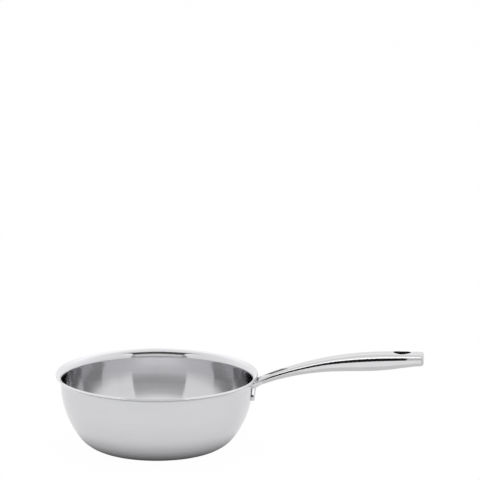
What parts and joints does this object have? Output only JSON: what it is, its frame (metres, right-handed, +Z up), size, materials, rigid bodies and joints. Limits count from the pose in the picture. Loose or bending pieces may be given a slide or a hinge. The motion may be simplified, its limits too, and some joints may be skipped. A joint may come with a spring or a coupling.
{
  "type": "saucier pan",
  "caption": "Round-sided steel saucier pan with a flared pouring lip and one long hollow handle with a hanging eye, welded below the lip.",
  "frame": {"origin": "centre of the flat face that the pan rests on", "axes": "+X from the bowl along the handle, +Z up through the mouth of the bowl, XZ is the plane of symmetry"},
  "size_m": [0.4543, 0.2498, 0.1257],
  "materials": {
    "bowl_steel": "satin, brushed round the axis, with a bright cut edge at the lip",
    "handle_steel": "polished",
    "weld_steel": "raw, hidden between the bracket and the wall"
  },
  "bodies": {
    "root": {"clad_bowl": "bowl_steel", "handle_bracket": "handle_steel", "handle_top_shell": "handle_steel", "handle_bottom_shell": "handle_steel", "hang_hole_sleeve": "handle_steel", "weld_nugget_1": "weld_steel", "weld_nugget_2": "weld_steel", "weld_nugget_3": "weld_steel", "weld_nugget_4": "weld_steel", "weld_nugget_5": "weld_steel", "weld_nugget_6": "weld_steel"}
  },
  "joints": []
}
